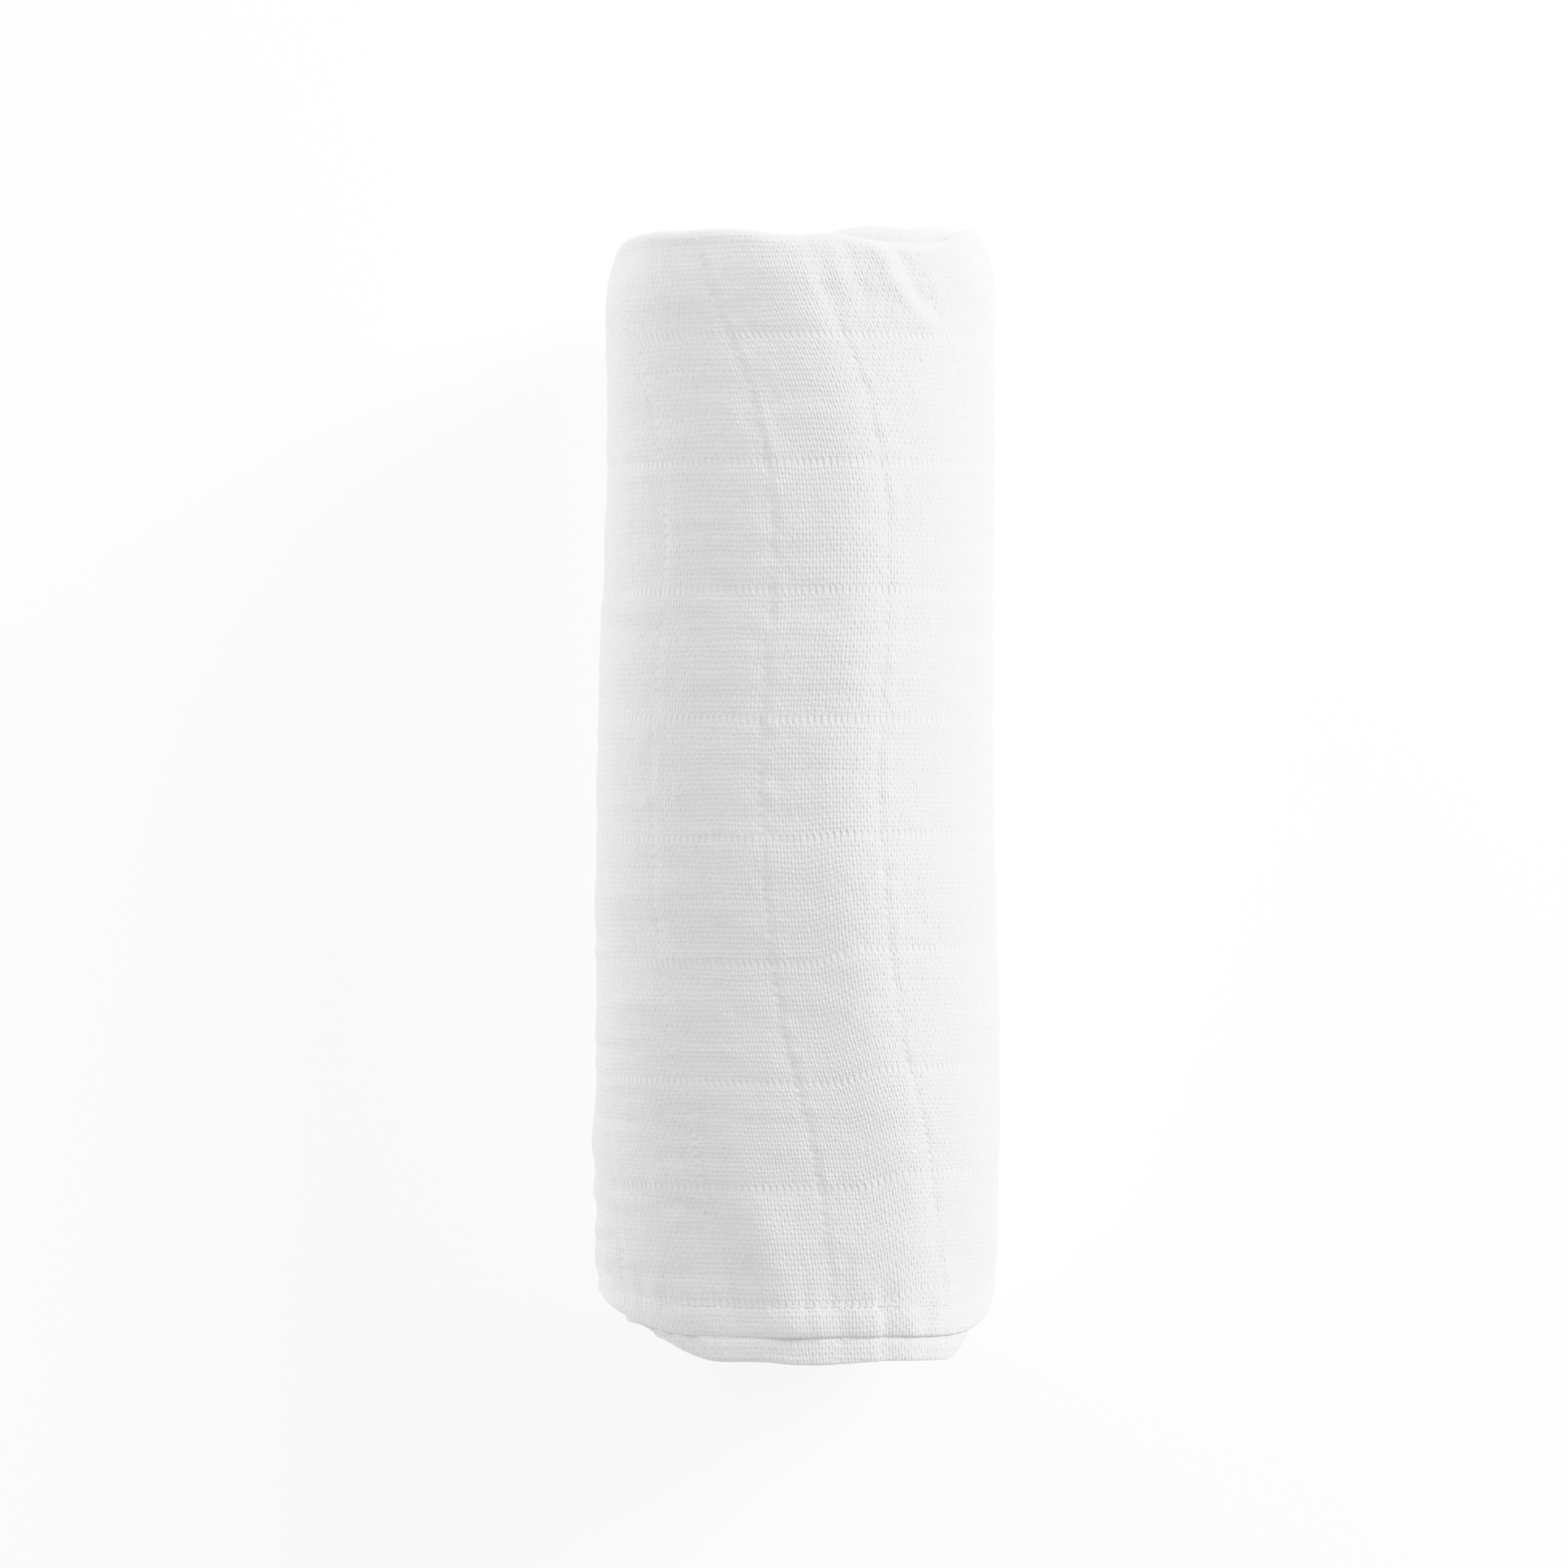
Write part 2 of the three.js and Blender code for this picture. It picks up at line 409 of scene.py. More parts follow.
def relief_share(angle, depth):
    """How much of the relief a ply takes: less on each under the outermost, and inside the roll."""
    share = np.interp(depth / PLY, range(PLIES), PLY_RELIEF)
    outer = smooth(SECOND_START + 6, SECOND_START + 40, angle)
    return share * (INNER_RELIEF + (1 - INNER_RELIEF) * outer)


def ply_lift(angle, y, depth, across, along):
    """How far a ply is lifted at a place."""
    return relief(angle, y, across, along) * relief_share(angle, depth) + band_rise(angle, y, depth)


def flat_lift(angle, y, depth):
    """The same, where a place along the cloth is taken as its place along Y."""
    return ply_lift(angle, y, depth, *cloth_uv(run_at(angle), y, y))


# ---- The strip's folded path, from the outer ply's hem to the other hem --------------------------
FOLD_STEPS = 9
HEM_INSET = 1.2 * MM  # the cloth ends inside its hem
FOLD_BULGE = 2.7 * MM
INNER_BULGE = 1.0 * MM
INNER_FOLD_INSET = 0.6 * MM  # the inner pair of plies turns this much short of the outer pair
THIRD_INSET, THIRD_WAVE = 1.6 * MM, 1.1 * MM  # where the inner pair turns, inside the outer hem
PLY_DEPTHS = (0, 3, 2, 1)  # of the four plies in the order of the path, outermost first
PLY_SAG = 0.22 * PLY

# How far the inner of the two hemmed edges lies behind the outer one, as (angle, millimetres). Over
# the top it stands out past it.
SECOND_HEM = [
    (170, 1.1), (150, 0.6), (140, -1.4), (130, -4.2), (121, -6.0), (105, -5.7), (80, -5.9), (60, -5.5),
    (45, -5.0), (37, -4.6), (33, -2.8), (29, 0.2), (24, 1.0), (10, 1.2),
]


def second_hem_offset(angle):
    """How far the inner of the two hemmed edges lies behind the outer one."""
    return (spline(SECOND_HEM, angle) + 0.5 * noise(angle / 22, 5.1, 23)) * MM


def ply_shares(fine, coarse, length=STRIP_WIDTH, close=14 * MM):
    """Shares of a ply's length, spaced finely near both its ends and coarsely between them."""
    edge = np.arange(0, close, fine)
    middle = np.linspace(close, length - close, max(2, round((length - 2 * close) / coarse)) + 1)
    return np.concatenate([edge, middle, np.sort(length - edge)]) / length


def strip_path(angle, shares):
    """y and depth of each row of the folded strip, as arrays of angles by rows.

    shares is one list for each ply.
    """
    angle = np.asarray(angle, float)[:, None]
    hem, fold = hemmed_side(angle), folded_side(angle)
    turn_in = fold - FOLD_BULGE
    second = second_hem_offset(angle)
    third = THIRD_INSET + THIRD_WAVE * noise(angle / 41, 9.4, 24)
    inner_turn, inner_fold = hem + third + INNER_BULGE, turn_in - INNER_FOLD_INSET
    starts = [hem + HEM_INSET, turn_in, inner_turn, inner_fold]
    ends = [turn_in, inner_turn, inner_fold, hem + second + HEM_INSET]
    rows_y, rows_depth = [], []
    half_turn = np.linspace(0, math.pi, FOLD_STEPS + 2)[1:-1]
    for ply, (start, end) in enumerate(zip(starts, ends)):
        sag = PLY_SAG * noise(angle / 25, shares[ply] * 9, 25 + ply) if ply else 0.0
        rows_y.append(start + (end - start) * shares[ply])
        rows_depth.append(np.broadcast_to(PLY_DEPTHS[ply] * PLY + sag, rows_y[-1].shape))
        if ply == PLIES - 1:
            break
        level, following = PLY_DEPTHS[ply] * PLY, PLY_DEPTHS[ply + 1] * PLY
        side = 1 if ply % 2 == 0 else -1
        bulge = FOLD_BULGE if ply == 0 else INNER_BULGE
        middle, half = (level + following) / 2, (following - level) / 2
        rows_y.append(end + side * bulge * np.sin(half_turn))
        rows_depth.append(np.broadcast_to(middle - half * np.cos(half_turn), rows_y[-1].shape))
    return np.concatenate(rows_y, 1), np.concatenate(rows_depth, 1)


def cloth_points(angle, shares):
    """Points and UVs of the strip at these angles, as arrays of angles by rows."""
    y, depth = strip_path(angle, shares)
    angle = np.asarray(angle, float)[:, None]
    steps = np.hypot(np.diff(y, axis=1), np.diff(depth, axis=1))
    along = y[:, :1] + np.concatenate([np.zeros_like(y[:, :1]), np.cumsum(steps, axis=1)], axis=1)
    across, along = cloth_uv(run_at(angle), y, along)
    lift = ply_lift(angle, y, depth, across, along)
    return place(angle, y, depth - lift), np.stack([across, along], axis=-1)


# ---- Meshes --------------------------------------------------------------------------------------
def new_object(name, vertices, faces, uvs=None, normals=None):
    """A smooth mesh object, with a UV and a normal for each vertex where they are given."""
    mesh = bpy.data.meshes.new(name)
    mesh.from_pydata(vertices.tolist(), [], faces.tolist() if hasattr(faces, "tolist") else faces)
    mesh.polygons.foreach_set("use_smooth", [True] * len(mesh.polygons))
    if uvs is not None:
        corners = np.zeros(len(mesh.loops), np.int32)
        mesh.loops.foreach_get("vertex_index", corners)
        layer = mesh.uv_layers.new(name="cloth")
        layer.data.foreach_set("uv", uvs[corners].astype(np.float32).ravel())
    if normals is not None:
        mesh.normals_split_custom_set_from_vertices(normals.tolist())
    obj = bpy.data.objects.new(name, mesh)
    bpy.context.collection.objects.link(obj)
    return obj


def grid_faces(columns, rows, wrap=False):
    """Quads over a grid of columns by rows of vertices; wrap joins the last row to the first."""
    i, j = np.meshgrid(np.arange(columns - 1), np.arange(rows if wrap else rows - 1), indexing="ij")
    k = (j + 1) % rows
    corners = [i * rows + j, (i + 1) * rows + j, (i + 1) * rows + k, i * rows + k]
    return np.stack(corners, axis=-1).reshape(-1, 4)


def grid_normals(points):
    """The normal at each point of a grid of columns by rows."""
    along, across = np.gradient(points, axis=0), np.gradient(points, axis=1)
    normal = np.cross(along, across)
    return normal / np.maximum(np.linalg.norm(normal, axis=-1, keepdims=True), 1e-12)


def columns_between(start, end, step):
    """Angles from start down to end, evenly spaced along the strip, with one more beyond each end."""
    a, b = float(run_at(start)), float(run_at(end))
    count = max(2, round((b - a) / step))
    inside = angle_at(np.linspace(a, b, count + 1))
    inside[0], inside[-1] = start, end
    before = start + (start - inside[1])
    after = end - (inside[-2] - end)
    return np.concatenate([[min(before, FREE_END)], inside, [max(after, CORE_END)]])


def cloth_piece(name, start, end, step, shares):
    """A stretch of the strip as one surface. Its normals match the next stretch's at their join."""
    angles = columns_between(start, end, step)
    points, uv = cloth_points(angles, shares)
    normals = grid_normals(points)[1:-1]
    points, uv = points[1:-1], uv[1:-1]
    faces = grid_faces(*points.shape[:2])
    return new_object(name, points.reshape(-1, 3), faces, uv.reshape(-1, 2), normals.reshape(-1, 3))


# ---- Hems ----------------------------------------------------------------------------------------
# A hem's section, in millimetres: how far from its edge, and how deep below the ply's face.
SIDE_HEM_SECTION = [
    (8.3, 0.35), (7.9, 0.08), (7.3, -0.02), (6.9, 0.03), (6.4, -0.05), (5.0, -0.14), (3.0, -0.15),
    (1.4, -0.13), (0.5, -0.04), (0.08, 0.18), (0.0, 0.50), (0.12, 0.82), (0.6, 1.02),
    (2.5, 1.10), (5.5, 1.06), (8.2, 0.9),
]
END_HEM_SECTION = [
    (8.1, 0.0), (7.7, -0.42), (7.3, -0.46), (6.9, -0.36), (6.4, -0.50), (4.0, -0.58), (1.2, -0.54),
    (0.35, -0.38), (0.0, 0.0), (0.35, 0.38), (1.2, 0.54), (4.0, 0.58), (7.7, 0.45),
]
STITCH_LINE = 6.9 * MM


def tube(points, cap_first=False, cap_last=False):
    """Vertices and faces of a closed section swept along columns, with ends where asked."""
    columns, rows = points.shape[:2]
    faces = grid_faces(columns, rows, wrap=True).tolist()
    if cap_first:
        faces.append(list(range(rows))[::-1])
    if cap_last:
        faces.append([(columns - 1) * rows + r for r in range(rows)])
    return points.reshape(-1, 3), faces


def joined(parts):
    """Several (vertices, faces, uvs) as one."""
    vertices, faces, uvs, first = [], [], [], 0
    for part_vertices, part_faces, part_uvs in parts:
        vertices.append(part_vertices)
        uvs.append(part_uvs)
        faces += [[first + v for v in face] for face in part_faces]
        first += len(part_vertices)
    return np.concatenate(vertices), faces, np.concatenate(uvs)


def side_hems(name, start, end, step):
    """The two hemmed edges of a stretch of the strip."""
    angles = columns_between(start, end, step)[1:-1][:, None]
    from_edge = np.array([p[0] for p in SIDE_HEM_SECTION]) * MM
    deep = np.array([p[1] for p in SIDE_HEM_SECTION]) * MM
    parts = []
    for ply in (0, 1):
        edge = hemmed_side(angles) + (second_hem_offset(angles) if ply else 0)
        y = edge + from_edge
        points = place(angles, y, ply * PLY + deep - flat_lift(angles, y, ply * PLY))
        uv = np.stack(cloth_uv(run_at(angles), y, y), axis=-1)
        vertices, faces = tube(points, cap_first=start >= FREE_END, cap_last=end <= CORE_END)
        parts.append((vertices, faces, uv.reshape(-1, 2)))
    return new_object(name, *joined(parts))


def end_hem(name, edge_angle, inward, shares):
    """The hem across one end of the strip, along its whole folded path."""
    from_edge = np.array([p[0] for p in END_HEM_SECTION]) * MM
    out = -np.array([p[1] for p in END_HEM_SECTION]) * MM
    loop_angles = angle_at(run_at(edge_angle) + inward * from_edge)
    y, depth = strip_path(loop_angles, shares)
    rows_y, rows_depth = np.gradient(y, axis=1), np.gradient(depth, axis=1)
    size = np.maximum(np.hypot(rows_y, rows_depth), 1e-9)
    angle, out = loop_angles[:, None], out[:, None]
    lift = flat_lift(angle, y, depth)
    points = place(angle, y + out * rows_depth / size, depth - out * rows_y / size - lift)
    uv = np.stack(cloth_uv(run_at(angle), y, y), axis=-1)
    vertices, faces = tube(points.transpose(1, 0, 2), cap_first=True, cap_last=True)
    return new_object(name, vertices, faces, uv.transpose(1, 0, 2).reshape(-1, 2))


# ---- Stitches ------------------------------------------------------------------------------------
STITCH_LENGTH = 2.3 * MM
STITCH_PITCH = 3.2 * MM
STITCH_RADIUS = 0.12 * MM
STITCH_RISE = 0.1  # of a radius, from the cloth's face to a stitch's middle
# Each ring of a stitch: its share of the length, its size, and how far it is raised, in radii.
STITCH_RINGS = ((0.0, 0.35, -1.0), (0.18, 1.0, 0.0), (0.82, 1.0, 0.0), (1.0, 0.35, -1.0))
STITCH_SIDES = 6
END_HEM_FACE = 0.36 * MM  # how far the end hem's face stands out along its stitch line
END_STITCH_MARGIN = 3 * MM


def stitches(name, begins, ends, outs):
    """Short threads between pairs of points, each sinking into the cloth at both its ends."""
    along = ends - begins
    length = np.linalg.norm(along, axis=1, keepdims=True)
    beside = np.cross(along / length, outs)
    turn = np.linspace(0, 2 * math.pi, STITCH_SIDES, endpoint=False)
    rings = []
    for share, size, rise in STITCH_RINGS:
        middle = begins + along * share + outs * STITCH_RADIUS * (rise + STITCH_RISE)
        around = outs[:, None] * np.sin(turn)[:, None] + beside[:, None] * np.cos(turn)[:, None]
        rings.append(middle[:, None] + around * STITCH_RADIUS * size)
    vertices = np.stack(rings, axis=1)
    count, levels = len(begins), len(STITCH_RINGS)
    one = grid_faces(levels, STITCH_SIDES, wrap=True)
    first = np.arange(count)[:, None, None] * levels * STITCH_SIDES
    faces = (one[None] + first).reshape(-1, 4).tolist()
    for i in range(count):
        base = i * levels * STITCH_SIDES
        faces.append([base + s for s in range(STITCH_SIDES)][::-1])
        faces.append([base + (levels - 1) * STITCH_SIDES + s for s in range(STITCH_SIDES)])
    return new_object(name, vertices.reshape(-1, 3), faces)


def side_stitches(name, start, end):
    """The stitches of a stretch's two hems."""
    a, b = float(run_at(start)), float(run_at(end))
    first, last = math.ceil(a / STITCH_PITCH), math.floor((b - STITCH_LENGTH) / STITCH_PITCH)
    runs = np.arange(first, last + 1) * STITCH_PITCH
    places = []
    for ply in (0, 1):
        for run in (runs, runs + STITCH_LENGTH, runs + STITCH_LENGTH / 2):
            angle = angle_at(run)
            y = hemmed_side(angle) + (second_hem_offset(angle) if ply else 0) + STITCH_LINE
            lift = flat_lift(angle, y, ply * PLY)
            places.append([place(angle, y, ply * PLY - lift - above) for above in (0, MM)])
    begins = np.concatenate([places[0][0], places[3][0]])
    ends = np.concatenate([places[1][0], places[4][0]])
    outs = np.concatenate([places[k][1] - places[k][0] for k in (2, 5)])
    outs /= np.linalg.norm(outs, axis=1, keepdims=True)
    return stitches(name, begins, ends, outs)


def free_end_stitches(name):
    """The stitches that show on the outer ply of the free end's hem."""
    angle = float(angle_at(run_at(FREE_END) + STITCH_LINE))
    low = float(hemmed_side(angle)) + END_STITCH_MARGIN
    high = float(folded_side(angle)) - END_STITCH_MARGIN
    y = np.arange(low, high, STITCH_PITCH)
    sets = [
        place(angle, along, -END_HEM_FACE - lifted - flat_lift(angle, along, 0))
        for along, lifted in ((y, 0), (y + STITCH_LENGTH, 0), (y, MM))
    ]
    outs = sets[2] - sets[0]
    outs /= np.linalg.norm(outs, axis=1, keepdims=True)
    return stitches(name, sets[0], sets[1], outs)


# ---- Label ---------------------------------------------------------------------------------------
LABEL_WIDTH, LABEL_FROM_HEM = 38 * MM, 24 * MM
LABEL_REACH = 11 * MM
LABEL_THICK = 0.35 * MM
LABEL_DEPTH = 4.75 * MM
LABEL_WAVE = 0.12 * MM


def care_label(name):
    """A blank satin ribbon, caught in the free end's hem and lying under the last panel."""
    start = run_at(FREE_END) + STITCH_LINE
    angles = angle_at(np.linspace(start, start + LABEL_REACH, 14))[:, None]
    low = float(hemmed_side(FREE_END)) + LABEL_FROM_HEM
    edge = np.linspace(0, LABEL_WIDTH, 16)
    wave = LABEL_WAVE * np.sin(edge / LABEL_WIDTH * 5)
    y = low + np.concatenate([edge, edge[::-1]])
    deep = LABEL_DEPTH + np.concatenate([wave, (wave + LABEL_THICK)[::-1]])
    points = place(angles, np.broadcast_to(y, (len(angles), len(y))), deep)
    uv = np.stack(np.broadcast_arrays(run_at(angles), y), axis=-1)
    vertices, faces = tube(points, cap_first=True, cap_last=True)
    return new_object(name, vertices, faces, uv.reshape(-1, 2))


# ---- Materials -----------------------------------------------------------------------------------
WARP_PITCH, WEFT_PITCH = 0.73 * MM, 1.18 * MM
WARP_WANDER, WEFT_WANDER = 1.2 * MM, 1.7 * MM
WEAVE_DEPTH = 0.19 * MM
TWIST_DEPTH = 0.05 * MM
RIB_PITCH, RIB_DEPTH = 0.35 * MM, 0.02 * MM


def grey(level):
    """A plain grey as a colour."""
    return level, level, level, 1


class Graph:
    """A material's node graph, with a short call for each kind of node it needs."""

    def __init__(self, name):
        self.material = bpy.data.materials.new(name)
        self.material.use_nodes = True
        self.nodes, self.links = self.material.node_tree.nodes, self.material.node_tree.links
        self.shader = self.nodes["Principled BSDF"]

    def feed(self, socket, value):
        """A socket takes another's output or a value of its own."""
        if isinstance(value, bpy.types.NodeSocket):
            self.links.new(value, socket)
        else:
            socket.default_value = value

    def math(self, operation, *values):
        node = self.nodes.new("ShaderNodeMath")
        node.operation = operation
        for socket, value in zip(node.inputs, values):
            self.feed(socket, value)
        return node.outputs[0]

    def ramp(self, value, low, high, out_low=0.0, out_high=1.0):
        """A smooth step from out_low to out_high as value goes from low to high."""
        node = self.nodes.new("ShaderNodeMapRange")
        node.interpolation_type = "SMOOTHSTEP"
        for socket, number in zip(node.inputs, (value, low, high, out_low, out_high)):
            self.feed(socket, number)
        return node.outputs[0]

    def cloth_uv(self):
        """Where a point lies in the cloth: across its lines and along them, in metres."""
        uv = self.nodes.new("ShaderNodeUVMap")
        uv.uv_map = "cloth"
        split = self.nodes.new("ShaderNodeSeparateXYZ")
        self.links.new(uv.outputs[0], split.inputs[0])
        return split.outputs[0], split.outputs[1]

    def noise(self, u, v, seed, detail=2.0):
        """Noise from 0 to 1 that varies over one unit of u and v."""
        spot = self.nodes.new("ShaderNodeCombineXYZ")
        for socket, value in zip(spot.inputs, (u, v, seed)):
            self.feed(socket, value)
        node = self.nodes.new("ShaderNodeTexNoise")
        node.inputs["Scale"].default_value = 1.0
        node.inputs["Detail"].default_value = detail
        self.links.new(spot.outputs[0], node.inputs["Vector"])
        return node.outputs["Fac"]

    def between(self, share, first, second):
        """A number between two."""
        return self.math("MULTIPLY_ADD", share, self.math("SUBTRACT", second, first), first)

    def mix(self, share, first, second):
        """A colour between two, from ShaderNodeMix's colour sockets."""
        node = self.nodes.new("ShaderNodeMix")
        node.data_type = "RGBA"
        for socket, value in zip((node.inputs[0], node.inputs[6], node.inputs[7]), (share, first, second)):
            self.feed(socket, value)
        return node.outputs[2]

    def product(self, *values):
        """All the values multiplied together."""
        total = values[0]
        for value in values[1:]:
            total = self.math("MULTIPLY", total, value)
        return total

    def scaled_noise(self, u, v, seed, detail=2.0):
        """Noise over u and v, which are each a value and how many times to multiply it."""
        return self.noise(self.product(*u), self.product(*v), seed, detail)

    def bump(self, height, distance):
        node = self.nodes.new("ShaderNodeBump")
        node.inputs["Strength"].default_value = 1.0
        node.inputs["Distance"].default_value = distance
        self.links.new(height, node.inputs["Height"])
        self.links.new(node.outputs[0], self.shader.inputs["Normal"])


def off_nearest(g, value, pitch):
    """How far value is from the nearest whole number of pitches, with its sign."""
    share = g.math("DIVIDE", value, pitch)
    whole = g.math("ROUND", share)
    return g.math("MULTIPLY", g.math("SUBTRACT", share, whole), pitch)


def openwork(g, height, along_line, off_line, pitch, half_width, level, strength):
    """Height with a grid line in it, where threads are drawn together and leave small oval holes."""
    wave = g.math("COSINE", g.math("MULTIPLY", along_line, 2 * math.pi / pitch))
    ladder = g.math("MULTIPLY_ADD", wave, -0.60, level)
    off = g.math("DIVIDE", g.math("ABSOLUTE", off_line), half_width)
    inside = g.math("MULTIPLY", g.ramp(off, 1.15, 0.6), strength)
    return g.between(inside, height, ladder)


def plain_weave(g, u, v):
    """The height of a plain weave, in which the warps stand higher than the wefts."""
    warp = g.math("SINE", g.math("MULTIPLY", u, math.pi / WARP_PITCH))
    weft = g.math("SINE", g.math("MULTIPLY", v, math.pi / WEFT_PITCH))
    cross = g.math("MULTIPLY", warp, weft)
    warp_top = g.math("MULTIPLY_ADD", cross, 0.50, g.product(warp, warp, 0.42))
    weft_top = g.math("MULTIPLY_ADD", cross, -0.30, g.product(weft, weft, 0.20))
    return g.math("SMOOTH_MAX", warp_top, weft_top, 0.2)


def uneven_threads(g, u, v):
    """Noise that differs from thread to thread, both ways, and a little along each."""
    u, v = g.math("DIVIDE", u, WARP_PITCH), g.math("DIVIDE", v, WEFT_PITCH)
    warps = g.noise(u, g.math("MULTIPLY", v, 0.2), 8.5)
    wefts = g.noise(g.math("MULTIPLY", u, 0.05), v, 9.5)
    both = g.math("MULTIPLY", g.math("ADD", warps, wefts), 0.3)
    return g.math("ADD", both, g.math("MULTIPLY", g.noise(u, v, 2.5), 0.4))


def gauze(name, gap_shade_colour, thread_colour):
    """Open plain weave with a dotted grid, uneven threads, and faint bands and clouds in its tone. Where
    the weave lies low, its colour goes to the darker gap colour, which is painted shade in the gaps and
    holes.
    """
    g = Graph(name)
    across, along = g.cloth_uv()
    wander_u = g.scaled_noise((across, 260), (along, 110), 1.5, 4.0)
    wander_v = g.scaled_noise((across, 110), (along, 260), 4.5, 4.0)
    u = g.math("MULTIPLY_ADD", wander_u, WARP_WANDER, across)
    v = g.math("MULTIPLY_ADD", wander_v, WEFT_WANDER, along)

    line = off_nearest(g, across, PANE_ACROSS)
    row = off_nearest(g, along, PANE_ALONG)
    broken = g.scaled_noise((across, 150), (along, 150), 6.5, 3.0)
    in_line, in_row = g.ramp(broken, 0.40, 0.65, 0.1, 0.65), g.ramp(broken, 0.35, 0.6, 0.8, 0.45)
    weave = plain_weave(g, u, v)
    weave = openwork(g, weave, v, line, 2 * WEFT_PITCH, 0.6 * MM, 0.1, in_line)
    weave = openwork(g, weave, u, row, 2 * WARP_PITCH, 1.0 * MM, 0.18, in_row)
    height = g.math("MULTIPLY", weave, g.ramp(uneven_threads(g, u, v), 0.35, 0.65, 0.45, 1.25))

    band = g.scaled_noise((across, 12), (along, 420), 7.5, 3.0)
    cloud = g.scaled_noise((across, 28), (along, 28), 3.5, 3.0)
    clouds, bands = g.ramp(cloud, 0.3, 0.7, 0.94, 1.0), g.ramp(band, 0.35, 0.65, 0.95, 1.0)
    # painted shade: the lower the weave, the nearer its colour is to the gap colour, standing in for the
    # shade in its gaps, holes and the grid's ovals
    shade = g.product(g.ramp(height, 0.0, 0.95), clouds, bands)
    g.feed(g.shader.inputs["Base Color"], g.mix(shade, gap_shade_colour, thread_colour))
    g.shader.inputs["Roughness"].default_value = 0.92
    g.shader.inputs["Specular IOR Level"].default_value = 0.2
    g.shader.inputs["Sheen Weight"].default_value = 0.15
    g.shader.inputs["Sheen Roughness"].default_value = 0.6
    g.bump(height, WEAVE_DEPTH)
    return g.material


def cotton_thread():
    """White sewing thread with a fine twist."""
    g = Graph("cotton_thread")
    spot = g.nodes.new("ShaderNodeTexCoord").outputs["Object"]
    twist = g.nodes.new("ShaderNodeTexWave")
    twist.inputs["Scale"].default_value = 900
    twist.inputs["Distortion"].default_value = 1.5
    g.links.new(spot, twist.inputs["Vector"])
    colour = g.mix(twist.outputs["Fac"], (0.76, 0.76, 0.77, 1), (0.86, 0.86, 0.87, 1))
    g.feed(g.shader.inputs["Base Color"], colour)
    g.shader.inputs["Roughness"].default_value = 0.75
    g.bump(twist.outputs["Fac"], TWIST_DEPTH)
    return g.material


def satin():
    """Off-white ribbon with fine ribs across it."""
    g = Graph("satin_ribbon")
    across, along = g.cloth_uv()
    rib = g.math("SINE", g.math("MULTIPLY", along, 2 * math.pi / RIB_PITCH))
    fleck = g.scaled_noise((across, 900), (along, 5000), 2.5)
    tone = g.ramp(fleck, 0.35, 0.65)
    g.feed(g.shader.inputs["Base Color"], g.mix(tone, (0.80, 0.79, 0.77, 1), (0.86, 0.85, 0.83, 1)))
    g.shader.inputs["Roughness"].default_value = 0.42
    g.shader.inputs["Anisotropic"].default_value = 0.5
    g.bump(rib, RIB_DEPTH)
    return g.material


# ---- Light and floor -----------------------------------------------------------------------------
LIGHT_SIZE = 1.0
LIGHT_AIM = (0, 0, 0.03)
RESPONSE = ((0.70, 0.70), (0.84, 0.835), (0.95, 0.887))  # (light, what the camera shows)
BRIGHTEST = 1.34  # the light that it shows as white
DOME_STRENGTH, BACKDROP_STRENGTH = 0.68, 1.4
FLOOR_HALF = 3.0
FLOOR_GLOW = 0.49


def area_light(name, location, power, colour):
    """A round soft light that faces the roll."""
    data = bpy.data.lights.new(name, "AREA")
    data.shape = "DISK"
    data.size = LIGHT_SIZE
    data.energy = power
    data.color = colour
    lamp = bpy.data.objects.new(name, data)
    lamp.location = location
    target = np.array(LIGHT_AIM) - np.array(location)
    lamp.rotation_euler = (
        math.acos(-target[2] / np.linalg.norm(target)),
        0,
        math.atan2(target[1], target[0]) - math.pi / 2,
    )
    bpy.context.collection.objects.link(lamp)


def soften_highlights():
    """The camera's response: in proportion up to a light grey, and gentler from there to white."""
    view = bpy.context.scene.view_settings
    view.view_transform = "Standard"
    view.use_curve_mapping = True
    mapping = view.curve_mapping
    mapping.use_clip = False
    response = mapping.curves[3]
    response.points[1].location = (BRIGHTEST, 1.0)
    for spot in RESPONSE:
        response.points.new(*spot)
    mapping.update()


def add_lights():
    """A strong low light from the right, a weaker one from the left, and an even dome."""
    area_light("key", (1.35, 1.00, 0.58), 24.8, (0.962, 0.95, 1.0))
    area_light("fill", (-1.28, 1.00, 0.38), 7.3, (1.0, 0.998, 0.995))
    world = bpy.data.worlds.new("studio")
    bpy.context.scene.world = world
    world.use_nodes = True
    nodes, links = world.node_tree.nodes, world.node_tree.links
    dome = nodes["Background"]
    dome.inputs["Color"].default_value = (1, 1, 1, 1)
    dome.inputs["Strength"].default_value = DOME_STRENGTH
    backdrop = nodes.new("ShaderNodeBackground")
    backdrop.inputs["Color"].default_value = (1, 1, 1, 1)
    backdrop.inputs["Strength"].default_value = BACKDROP_STRENGTH
    seen = nodes.new("ShaderNodeMixShader")
    links.new(nodes.new("ShaderNodeLightPath").outputs["Is Camera Ray"], seen.inputs[0])
    links.new(dome.outputs[0], seen.inputs[1])
    links.new(backdrop.outputs[0], seen.inputs[2])
    links.new(seen.outputs[0], nodes["World Output"].inputs["Surface"])


